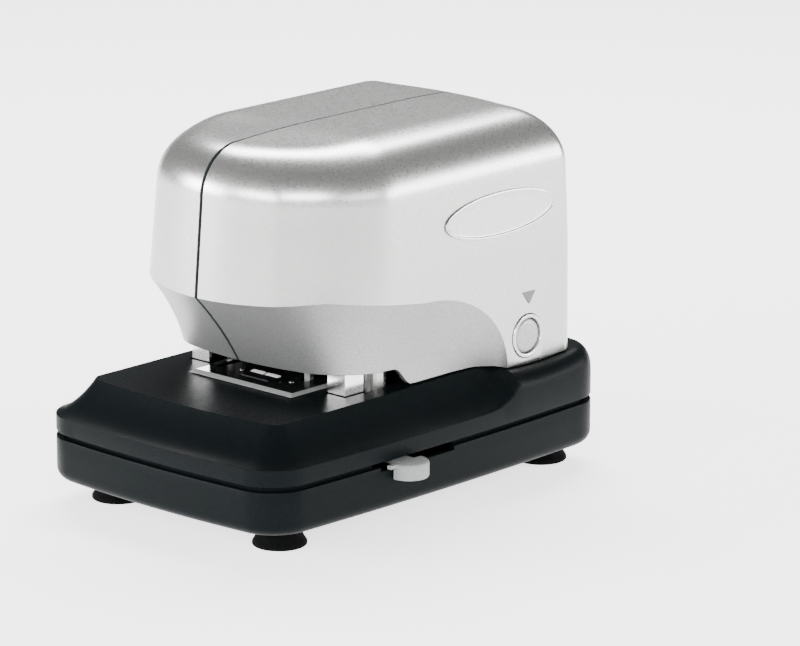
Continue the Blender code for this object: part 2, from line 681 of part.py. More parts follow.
def make_release():
    """The button, the ring round it and the lever that lets the drawer go."""
    button = [(BUTTON_R, 56.7), (BUTTON_R, 51), (1.5, 51), (1.5, 44)]
    axis = (50, BUTTON_Y, BUTTON_Z)
    turned("push_button", button, "X", BUTTON_Y, BUTTON_Z, "silver_paint", axis, 28)
    ring = [(7.1, 53.4), (8.6, 53.4), (8.6, 56.9), (7.1, 56.9)]
    turned("button_bezel", ring, "X", BUTTON_Y, BUTTON_Z, "silver_paint", segments=28, ring=True)
    lever = [(24.5, 163.2), (24.5, 165.6), (39, 165.6), (43, 156), (42, 152), (43.6, 149)]
    lever += [(43.6, 147.4), (40.5, 147.4), (38, 152), (37, 156), (34.5, 163.2)]
    prism("latch_lever", lever, "Z", 55.5, 60.0, "steel", (40, 156, 57.8))


# ---------------------------------------------------------------- trigger, electrics


def make_sensor():
    finger = [(71, 30), (74, 30), (75, 36), (73, 42), (72, 52.5), (70.5, 54.5), (70, 52), (70, 40), (69, 34)]
    prism("sensor_lever", finger, "X", 12.6, 15.4, "grey_plastic", (14, 72, 33))


def make_electrics():
    block("circuit_board", (-50, 62, 13.2), (16, 120, 14.8), "board_green")
    block("transformer", (-58, 124, 13.0), (-26, 168, 36), "copper", edge=2.0)
    inlet = block("power_inlet", (29.4, 176, 12.6), (51.2, 189.2, 24.9), "black_plastic")
    cut_block(inlet, "inlet_socket", (33, 180, 15.5), (47.6, 195, 22))
    housing = block("switch_housing", (-48.2, 176, 12.6), (-27.8, 189.2, 24.9), "black_plastic")
    cut_block(housing, "rocker_room", (-46.4, 178.5, 14.4), (-29.6, 195, 23.1))
    rocker = [(-44.8, 184.5), (-31.2, 184.5), (-31.2, 188.2), (-38, 187.2), (-44.8, 189.4)]
    prism("power_rocker", rocker, "Z", 15.0, 22.5, "grey_plastic", (-38, 184.5, 18.8))
    make_cable()


def make_cable():
    """The motor's lead, held all its way from the board up to the motor's end."""
    ends = [(-40, 110, 16.2), (-40, 113, 44), (-35, 122, 60), (-34, 128, 96), (-43, 122, 110), (-45, 108.7, 104)]
    route = smooth_route(ends, 5)
    curve = bpy.data.curves.new("motor_cable", "CURVE")
    curve.dimensions = "3D"
    spline = curve.splines.new("POLY")
    spline.points.add(len(route) - 1)
    for point, place in zip(spline.points, route):
        point.co = (*[c * MM for c in place], 1.0)
    curve.bevel_depth = 1.1 * MM
    curve.bevel_resolution = 1
    curve.use_fill_caps = True
    obj = bpy.data.objects.new("motor_cable", curve)
    bpy.context.scene.collection.objects.link(obj)
    obj.parent = FRAME
    curve.materials.append(MATERIALS["rubber"])


def smooth_route(points, steps):
    """Points along a Catmull-Rom curve through the given ones."""
    padded = [points[0], *points, points[-1]]
    route = []
    for k in range(len(points) - 1):
        a, b, c, d = (Vector(p) for p in padded[k : k + 4])
        for i in range(steps):
            t = i / steps
            route.append(
                0.5 * (2 * b + (c - a) * t + (2 * a - 5 * b + 4 * c - d) * t * t
                       + (3 * b - a - 3 * c + d) * t**3)
            )
    return route + [Vector(points[-1])]


make_tub()
make_cover()
make_feet()
make_head()
make_badge()
make_frame_plates()
make_drive()
make_driver()
make_table_plate()
make_clincher()
make_depth_guide()
make_cartridge()
make_release()
make_sensor()
make_electrics()
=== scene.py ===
import json
import math

import bmesh
import bpy
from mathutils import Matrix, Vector


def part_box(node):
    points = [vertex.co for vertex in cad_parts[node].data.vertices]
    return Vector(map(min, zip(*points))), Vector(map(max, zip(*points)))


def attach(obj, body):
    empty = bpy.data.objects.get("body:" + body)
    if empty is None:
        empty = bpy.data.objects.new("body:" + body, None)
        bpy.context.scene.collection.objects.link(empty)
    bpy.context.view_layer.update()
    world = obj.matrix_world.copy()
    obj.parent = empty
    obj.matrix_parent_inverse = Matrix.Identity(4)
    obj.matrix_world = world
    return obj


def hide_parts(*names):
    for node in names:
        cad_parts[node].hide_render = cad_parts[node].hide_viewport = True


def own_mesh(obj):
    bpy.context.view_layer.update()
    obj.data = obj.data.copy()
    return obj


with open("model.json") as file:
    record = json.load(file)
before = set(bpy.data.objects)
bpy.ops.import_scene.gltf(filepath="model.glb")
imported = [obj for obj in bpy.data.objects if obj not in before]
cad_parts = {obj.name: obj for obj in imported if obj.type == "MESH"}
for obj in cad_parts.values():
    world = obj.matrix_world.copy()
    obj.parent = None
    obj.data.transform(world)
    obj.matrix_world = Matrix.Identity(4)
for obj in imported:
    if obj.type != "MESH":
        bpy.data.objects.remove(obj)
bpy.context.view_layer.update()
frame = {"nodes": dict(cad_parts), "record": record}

MM = 0.001

# The frame's own places: the base's middle plane and its front edge, in millimetres.
TUB_LOW, TUB_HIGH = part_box("base_tub")
MIDDLE_X = (TUB_LOW.x + TUB_HIGH.x) / 2 / MM
FRONT_Y = TUB_LOW.y / MM
BASE_LENGTH = (TUB_HIGH.y - TUB_LOW.y) / MM
BASE_HALF_WIDTH = (TUB_HIGH.x - TUB_LOW.x) / 2 / MM
TUB_BOTTOM, TUB_TOP = TUB_LOW.z / MM, TUB_HIGH.z / MM
HEAD_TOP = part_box("head_shell_right")[1].z / MM

# The base, in millimetres from its front and from the table top.
BASE_CORNER = 14.6
BAND_LOW = 28.4
BAND_TOP = 34.8
TABLE_Z = 47.8
TABLE_INSET = 15.7
SCOOP_END_Y, SCOOP_RISE = 110.0, 24.0
KNOB_SLOT_Z, KNOB_TOP = 24.9, 27.0

# The head, in the same measure.
HEAD_HALF_WIDTH = 56.4
HEAD_FRONT = 25.3
HEAD_REAR = 181.9
CREASE_Z = 86.3
WALL_FRONT_Z, WALL_SIDE_Z = 88.0, 88.5
SIDE_DRAFT = 0.058
FRONT_FILLET, SIDE_FILLET, REAR_FILLET = 19.3, 22.8, 21.4
FILLET_FRONT_Y, FILLET_FRONT_Z = 48.0, 123.0
SKIRT_FRONT = 47.4
SKIRT_HALF_WIDTH = 47.8
SKIRT_DROP = 28.7
SKIRT_HOLLOW = 6.0
WALL = 2.2
GROOVE_FRONT, GROOVE_TOP, GROOVE_DEPTH = 0.8, 0.42, 1.3
SEAM = 0.03
SWEEP_Y, SWEEP_REACH, SWEEP_DROP = 91.0, 45.7, 34.0
HEAD_STATIONS = [74.5 + 16.5 * i / 8 for i in range(9)]
HEAD_STATIONS += [SWEEP_Y + SWEEP_REACH * math.sin(math.pi / 2 * i / 28) for i in range(1, 29)]
HEAD_STATIONS += [136.7 + 32.9 * i / 10 for i in range(1, 11)]
HEAD_BOWS, HEAD_CORNERS = (24.9, 0.0, 7.3), (24.3, 5.0)
SKIRT_BOWS, SKIRT_CORNERS = (10.0, 0.0, 7.3), (17.0, 5.0)
# Where the head's plan goes from its front to its rear end, and where its side is straight.
PLAN_MIDDLE_Y, STRAIGHT_FROM_Y, STRAIGHT_TO_Y = 110, 75, 165

# Outlines: the first points beside the seam, the steps of front, front corner and rear corner, and of rear.
NEAR_SEAM = [0.0, 1.0]
OUTLINE_STEPS = (14, 18, 8)
REAR_STEPS = 12
BASE_SHARES = [i / 60 for i in range(61)]
ROUND_ARM = 0.5523

# What is set in the shells: feet, button, badge, and the openings as low and high corners.
FEET = {"front_left": (-43, 25), "front_right": (43, 25), "rear_left": (-41, 174), "rear_right": (41, 174)}
FOOT_BORE = 2.2
BUTTON_Y, BUTTON_Z, BUTTON_R = 148.2, 57.8, 6.8
BUTTON_HOLE_R = 8.9
BADGE_Y, BADGE_Z, BADGE_LONG, BADGE_TALL = 133.2, 108.4, 31.0, 8.6
DRAWER_HOLE = ((-23, 170, 52), (23, 190, 118))
KNOB_SLOT = ((58, 57, KNOB_SLOT_Z), (70, 97, 30))
KNOB_NOTCH = ((50, 55, 20), (70, 99, 27.3))
INLET_X, ROCKER_X = (29, 51.6), (-48.6, -27.4)
MECHANISM_HOLE = ((-46, 106, 40), (46, 170, 60))
THROAT_HOLE = ((-13, 51.5, 40), (17.5, 90, 60))
STOP_SLOT_X, STOP_SLOT_HALF, STOP_SLOT_Y = 36, 5.4, (62, 103.5)
PLATE_FRONT_Y, PLATE_HALF_WIDTH = 50, 25.4
SPRING_X, SPRING_Y = 17.4, 55.9
SPRING_LOW, SPRING_HIGH, SPRING_TRAVEL = 70.3, 99.7, 12.01
SIDES = (("left", -1), ("right", 1))

# Edges sharper than these, in degrees, stay sharp.
SHARP, SHARP_HEAD, SHARP_COVER, SHARP_PLATE, SHARP_BADGE, SHARP_KNOB = 35, 28, 24, 20, 40, 50

# Light and camera. A panel has a name, a direction and distance from the object, a width and height
# in metres, and watts.
WORLD_STRENGTH = 0.22
PANELS = (
    ("panel_above_left_rear", (-0.36, 0.42, 0.83), 1.4, (1.1, 0.42), 38.0),
    ("panel_right_rear", (0.67, 0.71, 0.20), 1.5, (1.0, 0.30), 18.0),
    ("panel_front_left", (-0.66, -0.72, 0.24), 1.5, (0.9, 0.34), 30.0),
    ("panel_front", (0.05, -0.93, 0.31), 1.5, (0.8, 0.26), 16.0),
    ("panel_front_right", (0.65, -0.60, 0.38), 1.5, (0.9, 0.25), 18.0),
    ("panel_right", (0.95, 0.02, 0.29), 1.5, (0.8, 0.24), 5.0),
)
FLOOR_SIZE = 3.0
CAMERA_AZIMUTH, CAMERA_ELEVATION = 42.83, 14.91
CAMERA_DISTANCE, CAMERA_LENS, CAMERA_SENSOR = 1.728, 202.5, 36.0
CAMERA_AIM = (0.0, 95.0, 63.0)
CAMERA_ASIDE = 28.5


def place(point):
    """A point of the base's measure, in metres in the frame."""
    x, y, z = point
    return Vector(((x + MIDDLE_X) * MM, (y + FRONT_Y) * MM, z * MM))


# ---------------------------------------------------------------- materials


def material(name, colour, roughness, metallic=0.0, **sockets):
    """A plain surface, with any further socket named with underscores for its spaces."""
    made = bpy.data.materials.new(name)
    made.use_nodes = True
    shader = made.node_tree.nodes["Principled BSDF"]
    shader.inputs["Base Color"].default_value = (*colour, 1.0)
    shader.inputs["Roughness"].default_value = roughness
    shader.inputs["Metallic"].default_value = metallic
    for socket, value in sockets.items():
        shader.inputs[socket.replace("_", " ")].default_value = value
    return made


def new_node(made, kind, **settings):
    """A shader node with its properties and inputs set."""
    node = made.node_tree.nodes.new(kind)
    for key, value in settings.items():
        if hasattr(node, key):
            setattr(node, key, value)
        else:
            node.inputs[key].default_value = value
    return node


def noise(made, scale, detail=3.0, stretch=(1, 1, 1)):
    """Noise over the object's own coordinates, in grains to the metre."""
    where = new_node(made, "ShaderNodeTexCoord")
    mapping = new_node(made, "ShaderNodeMapping")
    mapping.inputs["Scale"].default_value = stretch
    grain = new_node(made, "ShaderNodeTexNoise", Scale=scale, Detail=detail)
    links = made.node_tree.links
    links.new(where.outputs["Object"], mapping.inputs["Vector"])
    links.new(mapping.outputs["Vector"], grain.inputs["Vector"])
    return grain.outputs["Fac"]


def ramp(made, source, low, high):
    """A colour or grey that runs from low to high over the middle of the source's span."""
    node = new_node(made, "ShaderNodeValToRGB")
    for element, position, value in zip(node.color_ramp.elements, (0.3, 0.7), (low, high)):
        element.position = position
        element.color = (*value, 1.0) if isinstance(value, tuple) else (value, value, value, 1.0)
    made.node_tree.links.new(source, node.inputs["Fac"])
    return node.outputs["Color"]


def bump(made, source, strength, distance):
    """A surface normal that the source raises, by up to a distance in metres."""
    node = new_node(made, "ShaderNodeBump", Strength=strength, Distance=distance)
    made.node_tree.links.new(source, node.inputs["Height"])
    return node.outputs["Normal"]


def feed(made, socket, source):
    """Links a source to the shader's socket."""
    shader = made.node_tree.nodes["Principled BSDF"]
    made.node_tree.links.new(source, shader.inputs[socket])


def grained(
    made, colours, colour_scale, roughness, rough_scale, grain_scale, grain_depth, stretch=(1, 1, 1)
):
    """Colour drift, uneven gloss and a fine grain, each from its own noise."""
    feed(made, "Base Color", ramp(made, noise(made, colour_scale, stretch=stretch), *colours))
    feed(made, "Roughness", ramp(made, noise(made, rough_scale, stretch=stretch), *roughness))
    feed(made, "Normal", bump(made, noise(made, grain_scale, 2.0, stretch), 0.6, grain_depth))
    return made


SILVER = grained(
    material("silver_paint", (0.6, 0.6, 0.6), 0.3, 0.92),
    ((0.44, 0.438, 0.432), (0.53, 0.528, 0.52)), 2600, (0.26, 0.33), 900, 2600, 0.000007,
)
# Coarser grained silver. The grain is the skirt's own; its darker colour is painted shade below the crease.
# The button's cap uses it too.
SILVER_GRAIN_AND_SHADE = grained(
    material("silver_grain_and_shade", (0.4, 0.4, 0.4), 0.42, 0.85),
    ((0.27, 0.275, 0.273), (0.37, 0.375, 0.372)), 1500, (0.38, 0.48), 900, 1500, 0.00003,
)
SILVER_SMOOTH = grained(
    material("silver_trim", (0.6, 0.6, 0.6), 0.3, 0.9),
    ((0.50, 0.50, 0.495), (0.58, 0.58, 0.575)), 1800, (0.22, 0.30), 700, 2600, 0.000004,
)
# Dark grey-green for the groove's faces: a painted shadow in the narrow seam, not the shells' own colour.
SEAM_PAINTED_SHADOW = grained(
    material("seam_painted_shadow", (0.02, 0.025, 0.026), 0.7, Specular_IOR_Level=0.1),
    ((0.030, 0.037, 0.038), (0.042, 0.050, 0.051)), 1500, (0.65, 0.75), 900, 2600, 0.00001,
)
BLACK = grained(
    material("black_texture", (0.004, 0.005, 0.006), 0.45, Specular_IOR_Level=0.04),
    ((0.0017, 0.0027, 0.0031), (0.0036, 0.0053, 0.0060)), 1500, (0.34, 0.46), 1100, 2200, 0.00004,
)
BLACK_GLOSS = grained(
    material("black_gloss", (0.004, 0.004, 0.005), 0.12, Specular_IOR_Level=0.3),
    ((0.003, 0.0035, 0.004), (0.005, 0.0058, 0.0064)), 400, (0.10, 0.16), 300, 900, 0.00001,
)
BEVEL_GREY = grained(
    material("bevel_grey", (0.3, 0.3, 0.3), 0.35, 0.3),
    ((0.22, 0.225, 0.225), (0.30, 0.305, 0.305)), 900, (0.3, 0.4), 600, 2400, 0.00001,
)
GREY = grained(
    material("grey_plastic", (0.4, 0.4, 0.4), 0.5, Specular_IOR_Level=0.3),
    ((0.19, 0.20, 0.197), (0.24, 0.25, 0.247)), 1200, (0.44, 0.56), 900, 2400, 0.00005,
)
RUBBER = grained(
    material("rubber", (0.002, 0.002, 0.002), 0.8, Specular_IOR_Level=0.04),
    ((0.0010, 0.0011, 0.0012), (0.0022, 0.0024, 0.0026)), 900, (0.66, 0.85), 700, 1900, 0.00008,
)
STEEL = grained(
    material("zinc_steel", (0.6, 0.6, 0.6), 0.35, 1.0),
    ((0.50, 0.50, 0.49), (0.66, 0.66, 0.65)), 420, (0.26, 0.44), 260, 2200, 0.00003,
)
CHROME = grained(
    material("bright_steel", (0.8, 0.8, 0.8), 0.12, 1.0),
    ((0.76, 0.76, 0.75), (0.84, 0.84, 0.83)), 300, (0.08, 0.18), 500, 3000, 0.00001, (1, 1, 8),
)
PLATE = grained(
    material("plate_bevel", (0.6, 0.6, 0.6), 0.3, 0.6),
    ((0.58, 0.59, 0.59), (0.66, 0.67, 0.67)), 600, (0.22, 0.34), 500, 2500, 0.00002,
)
BRASS = grained(
    material("brass", (0.7, 0.55, 0.3), 0.3, 1.0),
    ((0.62, 0.47, 0.22), (0.76, 0.60, 0.32)), 500, (0.22, 0.38), 400, 2000, 0.00002,
)
NYLON = grained(
    material("nylon", (0.8, 0.8, 0.75), 0.45),
    ((0.74, 0.73, 0.68), (0.84, 0.83, 0.78)), 300, (0.38, 0.5), 500, 1800, 0.00003,
)
BOARD = grained(
    material("board_green", (0.05, 0.2, 0.1), 0.4),
    ((0.03, 0.16, 0.07), (0.06, 0.24, 0.11)), 350, (0.3, 0.45), 500, 1500, 0.00003,
)
COPPER = grained(
    material("copper", (0.5, 0.3, 0.15), 0.4, 0.8),
    ((0.45, 0.20, 0.10), (0.62, 0.33, 0.18)), 700, (0.3, 0.45), 600, 1400, 0.0001, (0.2, 1, 3),
)
CLEAR = grained(
    material("clear_plastic", (0.8, 0.83, 0.83), 0.15, Transmission_Weight=0.85, IOR=1.49),
    ((0.80, 0.83, 0.83), (0.90, 0.92, 0.92)), 300, (0.06, 0.16), 400, 1200, 0.00002,
)
# Near white and barely metallic: a painted highlight on the steel lip, which sits in the head's shade.
RIDGE_PAINTED_GLINT = grained(
    material("ridge_steel_painted_glint", (0.9, 0.9, 0.9), 0.45, 0.2),
    ((0.84, 0.84, 0.83), (0.92, 0.92, 0.91)), 500, (0.40, 0.50), 500, 1500, 0.00001,
)
DARK_PRINT = grained(
    material("grey_print", (0.1, 0.1, 0.1), 0.5),
    ((0.09, 0.095, 0.10), (0.13, 0.135, 0.14)), 1500, (0.45, 0.55), 900, 2600, 0.00001,
)

NODE_LOOKS = {
    "silver_paint": SILVER_SMOOTH,
    "black_plastic": BLACK,
    "grey_plastic": GREY,
    "rubber": RUBBER,
    "steel": STEEL,
    "bright_steel": CHROME,
    "plate_paint": PLATE,
    "brass": BRASS,
    "nylon": NYLON,
    "board_green": BOARD,
    "clear_plastic": CLEAR,
    "copper": COPPER,
}


def dress_cad_nodes():
    """Every CAD node gets the procedural finish of its slot, and the anvil insert the plate's gloss."""
    slots = {row["node"]: row["material_slot"] for row in frame["record"]["subparts"]}
    for name, node in frame["nodes"].items():
        node.data.materials.clear()
        node.data.materials.append(NODE_LOOKS[slots[name]])
    frame["nodes"]["anvil_insert"].data.materials[0] = BLACK_GLOSS


# ---------------------------------------------------------------- pieces


def solid(name, points, faces):
    """A closed mesh from points in the base's measure, with its faces pointing out."""
    mesh = bpy.data.meshes.new(name)
    mesh.from_pydata([place(p) for p in points], [], faces)
    shape = bmesh.new()
    shape.from_mesh(mesh)
    bmesh.ops.recalc_face_normals(shape, faces=shape.faces)
    shape.to_mesh(mesh)
    shape.free()
    obj = bpy.data.objects.new(name, mesh)
    bpy.context.scene.collection.objects.link(obj)
    return obj


def sharpen(obj, degrees):
    """Marks the edges that turn by more than an angle as sharp."""
    obj.data.set_sharp_from_angle(angle=math.radians(degrees))


def piece(name, points, faces, look, body, slot, stands_for=(), angle=SHARP):
    """A solid that is seen, smooth but for its sharp edges."""
    obj = solid(name, points, faces)
    obj.data.materials.append(look)
    obj.data.shade_smooth()
    sharpen(obj, angle)
    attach(obj, body)
    if stands_for:
        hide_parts(*stands_for)
    return obj


def rungs(first, count):
    """A cap for a mirrored loop that starts at its front middle: strips from left to right."""
    half, last = count // 2, first + count
    faces = [(first, first + 1, last - 1)]
    faces += [(first + i, first + i + 1, last - i - 1, last - i) for i in range(1, half - 1)]
    return faces + [(first + half - 1, first + half, first + half + 1)]


def skin(loops, close=False, twin=False):
    """Points and faces of loops joined one to the next."""
    count = len(loops[0])
    points = [p for loop in loops for p in loop]
    faces = []
    for k in range(len(loops) if close else len(loops) - 1):
        a, b = k * count, ((k + 1) % len(loops)) * count
        faces += [(a + i, a + (i + 1) % count, b + (i + 1) % count, b + i) for i in range(count)]
    if twin:
        faces += rungs(0, count) + rungs(len(points) - count, count)
    elif not close:
        faces += [tuple(range(count)), tuple(range(len(points) - count, len(points)))]
    return points, faces


def mirrored(half):
    """A full loop from its right half, which runs from the front middle to the rear."""
    return half + [(-x, y, *rest) for x, y, *rest in reversed(half[1:-1])]


def on_axis(axis, along, first, second):
    """The point at a distance along an axis, with the two other coordinates in their order."""
    return {"X": (along, first, second), "Y": (first, along, second), "Z": (first, second, along)}[axis]


def circle(first, second, radius, segments):
    """Points round a centre."""
    turns = [2 * math.pi * i / segments for i in range(segments)]
    return [(first + radius * math.cos(t), second + radius * math.sin(t)) for t in turns]


def rounded_profile(profile, reach, steps=3):
    """The same closed outline with each corner cut by a short round."""
    made = []
    for i, corner in enumerate(profile):
        before, after = Vector(profile[i - 1]), Vector(profile[(i + 1) % len(profile)])
        here = Vector(corner)
        near = here + (before - here).normalized() * min(reach, (before - here).length * 0.45)
        far = here + (after - here).normalized() * min(reach, (after - here).length * 0.45)
        for k in range(steps + 1):
            t = k / steps
            made.append(tuple((1 - t) ** 2 * near + 2 * t * (1 - t) * here + t * t * far))
    return made


def turned(name, profile, axis, first, second, look, body, slot, stands_for=(), segments=48, ring=False):
    """A (radius, place along the axis) profile turned about the axis."""
    loops = [[on_axis(axis, along, *p) for p in circle(first, second, r, segments)] for r, along in profile]
    return piece(name, *skin(loops, close=ring), look, body, slot, stands_for)


def combine(obj, tool, operation):
    """Cuts a tool from a piece, or joins it on, for good, and removes the tool."""
    modifier = obj.modifiers.new("combine", "BOOLEAN")
    modifier.operation = operation
    modifier.solver = "EXACT"
    modifier.object = tool
    bpy.context.view_layer.update()
    graph = bpy.context.evaluated_depsgraph_get()
    made = bpy.data.meshes.new_from_object(obj.evaluated_get(graph))
    obj.modifiers.clear()
    obj.data = made
    bpy.data.objects.remove(tool)


def cut(obj, *tools):
    """Cuts each tool from a piece in turn."""
    for tool in tools:
        combine(obj, tool, "DIFFERENCE")


def box_tool(low, high):
    """A plain block between two corners."""
    corners = ((low[0], low[1]), (high[0], low[1]), (high[0], high[1]), (low[0], high[1]))
    points = [(x, y, z) for z in (low[2], high[2]) for x, y in corners]
    faces = [(3, 2, 1, 0), (4, 5, 6, 7), (0, 1, 5, 4), (1, 2, 6, 5), (2, 3, 7, 6), (3, 0, 4, 7)]
    return solid("tool", points, faces)


def rod_tool(axis, first, second, radius, low, high, segments=48):
    """A plain cylinder along an axis."""
    rim = circle(first, second, radius, segments)
    loops = [[on_axis(axis, level, *p) for p in rim] for level in (low, high)]
    return solid("tool", *skin(loops))


# ---------------------------------------------------------------- plan outlines


def corner_curve(start, corner, end, steps):
    """A round corner as a cubic curve that is close to an arc, without its two end points."""
    first = [s + (c - s) * ROUND_ARM for s, c in zip(start, corner)]
    second = [e + (c - e) * ROUND_ARM for e, c in zip(end, corner)]
    found = []
    for i in range(1, steps):
        t = i / steps
        weights = ((1 - t) ** 3, 3 * (1 - t) ** 2 * t, 3 * (1 - t) * t * t, t**3)
        found.append(
            tuple(sum(w * p[k] for w, p in zip(weights, (start, first, second, end))) for k in (0, 1))
        )
    return found


def half_outline(half, front, rear, bows, radii, side_shares):
    """Right half of a plan outline with bowed front, sides and rear, and round corners."""
    bow_front, bow_side, bow_rear = bows
    middle, reach = (front + rear) / 2, (rear - front) / 2

    def side(y):
        return half - bow_side * ((y - middle) / reach) ** 2

    def front_y(x):
        return front + bow_front * (x / half) ** 2

    def rear_y(x):
        return rear - bow_rear * (x / half) ** 2

    end = side(front)
    turn_front, turn_rear = end - radii[0], end - radii[1]
    low, high = front_y(end) + radii[0], rear_y(end) - radii[1]
    steps = OUTLINE_STEPS
    across = NEAR_SEAM + [1.0 + (turn_front - 1.0) * i / steps[0] for i in range(1, steps[0] + 1)]
    outline = [(x, front_y(x)) for x in across]
    outline += corner_curve(outline[-1], (end, front_y(end)), (side(low), low), steps[1])
    outline += [(side(low + (high - low) * s), low + (high - low) * s) for s in side_shares]
    outline += corner_curve(outline[-1], (end, rear_y(end)), (turn_rear, rear_y(turn_rear)), steps[2])
    back = [1.0 + (turn_rear - 1.0) * i / REAR_STEPS for i in range(REAR_STEPS, 0, -1)] + NEAR_SEAM[::-1]
    return outline + [(x, rear_y(x)) for x in back]


# ---------------------------------------------------------------- head


def crease_height(y):
    """The crease falls slowly along the side, then turns down in an elliptic sweep to the base."""
    if y < 47:
        return CREASE_Z + 1.7 * max(y - HEAD_FRONT, 0) / 21.7
    if y < SWEEP_Y:
        return 88 - 6.3 * (y - 47) / 44
    share = min((y - SWEEP_Y) / SWEEP_REACH, 1.0)
    return 47.7 + SWEEP_DROP * math.sqrt(1 - share * share)


def lower_edge_height(y):
    """The skirt's lower edge: over the throat in front, down to the table behind it."""
    if y < 82:
        return 57.8 - 1.8 * max(y - 47, 0) / 35
    if y < 92:
        return 56.0 - 7.6 * (1 - math.cos(math.pi * (y - 82) / 10)) / 2
    return 48.4 - 1.9 * math.sin(math.pi * min(max(y - 126, 0) / 50.0, 1.0))


def head_outline(half, front, rear, bows, radii):
    """A half outline whose side has its points at the head's stations."""
    low, high = HEAD_STATIONS[0], HEAD_STATIONS[-1]
    shares = [(y - low) / (high - low) for y in HEAD_STATIONS]
    return half_outline(half, front, rear, bows, radii, shares)


def head_plan(wall=0.0):
    """The head's half outline at the crease, outside or a wall's thickness in."""
    half, front, rear = HEAD_HALF_WIDTH - wall, HEAD_FRONT + wall, HEAD_REAR - wall
    return head_outline(half, front, rear, HEAD_BOWS, HEAD_CORNERS)


def skirt_inset(depth):
    """How far the skirt stands in at a depth below the crease: a slope that is a little hollow."""
    share = min(depth / SKIRT_DROP, 1.0)
    return (HEAD_HALF_WIDTH - SKIRT_HALF_WIDTH) * share + SKIRT_HOLLOW * share * (1 - share)


def skirt_loop(share, wall=0.0):
    """Between crease, 0, and lower edge, 1. The front tapers in both ways, the sides only in width."""
    plan = head_plan(wall)
    narrow = SKIRT_HALF_WIDTH - wall
    front = head_outline(narrow, SKIRT_FRONT + wall, HEAD_REAR, SKIRT_BOWS, SKIRT_CORNERS)
    turn = len(NEAR_SEAM) + OUTLINE_STEPS[0] + OUTLINE_STEPS[1] - 1
    loop = []
    for i, (x, y) in enumerate(plan):
        if i < turn:
            low_x, low_y = front[i]
            low = lower_edge_height(low_y)
            high = max(crease_height(y), low)
            slope = Vector((low_x - x, low_y - y))
            inwards = slope * share + slope.normalized() * SKIRT_HOLLOW * share * (1 - share)
            loop.append((x + inwards.x, y + inwards.y, high + (low - high) * share))
            continue
        low = lower_edge_height(y)
        high = max(crease_height(y), low)
        depth = (high - low) * share
        loop.append((x - min(skirt_inset(depth), x), y, high - depth))
    return loop


def section(half, front, rear, heights, wall):
    """The crease's outline brought to another width and length; heights go by which way a point faces."""
    plan = head_plan(wall)
    old_half, old_front, old_rear = HEAD_HALF_WIDTH - wall, HEAD_FRONT + wall, HEAD_REAR - wall
    stretch = (rear - front) / (old_rear - old_front)
    front_z, side_z, rear_z = heights
    loop = []
    for x, y in plan:
        across = (x / old_half) ** 4
        end_z = front_z if y < PLAN_MIDDLE_Y else rear_z
        if y < STRAIGHT_FROM_Y:
            weight = across * min(max((y - old_front) / (STRAIGHT_FROM_Y - old_front), 0), 1)
        elif y < STRAIGHT_TO_Y:
            weight = 1.0
        else:
            weight = across
        weight = weight * weight * (3 - 2 * weight)
        height = end_z + (side_z - end_z) * weight
        loop.append((x * half / old_half, front + (y - old_front) * stretch, height))
    return loop


def side_wall(height):
    """How far the side wall stands from the middle at a height, with its draft."""
    return HEAD_HALF_WIDTH - SIDE_DRAFT * (height - CREASE_Z)


def wall_section(share, wall=0.0):
    """Between the crease, 0, and where the top's fillets start, 1."""
    side_z = WALL_SIDE_Z + (HEAD_TOP - SIDE_FILLET - WALL_SIDE_Z) * share
    front_z = WALL_FRONT_Z + (FILLET_FRONT_Z - WALL_FRONT_Z) * share
    front = HEAD_FRONT + 0.15 + 3.25 * share + wall
    return section(side_wall(side_z) - wall, front, HEAD_REAR - wall, (front_z, side_z, side_z), wall)


def fillet_section(angle, wall=0.0):
    """Round the top's edge, from upright, 0, to level, 90 degrees."""
    turn = math.radians(angle)
    out, up = math.cos(turn), math.sin(turn)
    side_r, front_r, rear_r = SIDE_FILLET - wall, FRONT_FILLET - wall, REAR_FILLET - wall
    side_low = HEAD_TOP - SIDE_FILLET
    half = side_wall(side_low) - SIDE_FILLET + side_r * out
    front = FILLET_FRONT_Y - front_r * out
    rear = HEAD_REAR - REAR_FILLET + rear_r * out
    rear_low = HEAD_TOP - 0.5 - REAR_FILLET
    heights = (FILLET_FRONT_Z + front_r * up, side_low + side_r * up, rear_low + rear_r * up)
    return section(half, front, rear, heights, wall)


def crown_height(y):
    """The middle line of the top: it rises a little from the front and falls a little to the rear."""
    if y < 92:
        return HEAD_TOP - 1.4 * ((92 - y) / 44) ** 2
    if y > 140:
        return HEAD_TOP - 0.7 * ((y - 140) / 21) ** 2
    return HEAD_TOP


def crown_loop(share, wall=0.0):
    """Between the fillets' upper edge, 1, and the middle line, 0."""
    loop = []
    for x, y, z in fillet_section(90, wall):
        new_y = 102 + (y - 102) * (0.9 + 0.1 * share)
        height = crown_height(new_y) - wall + (z - crown_height(y) + wall) * share
        loop.append((x * share, new_y, min(height, HEAD_TOP - wall)))
    return loop


def groove_half_width(y):
    """The seam's groove is widest down the front and finer along the top."""
    share = min(max((y - 40.0) / 16.0, 0.0), 1.0)
    return GROOVE_FRONT + (GROOVE_TOP - GROOVE_FRONT) * share


def seam_line(outer):
    """The head's outline on its middle plane, from the front's lower edge over the top to the rear."""
    front = [row[0][1:] for row in reversed(outer)]
    top = [p[1:] for p in outer[0][1:-1]]
    rear = [row[-1][1:] for row in outer]
    line = []
    for point in front + top + rear:
        if not line or math.dist(point, line[-1]) > 0.3:
            line.append(point)
    return line


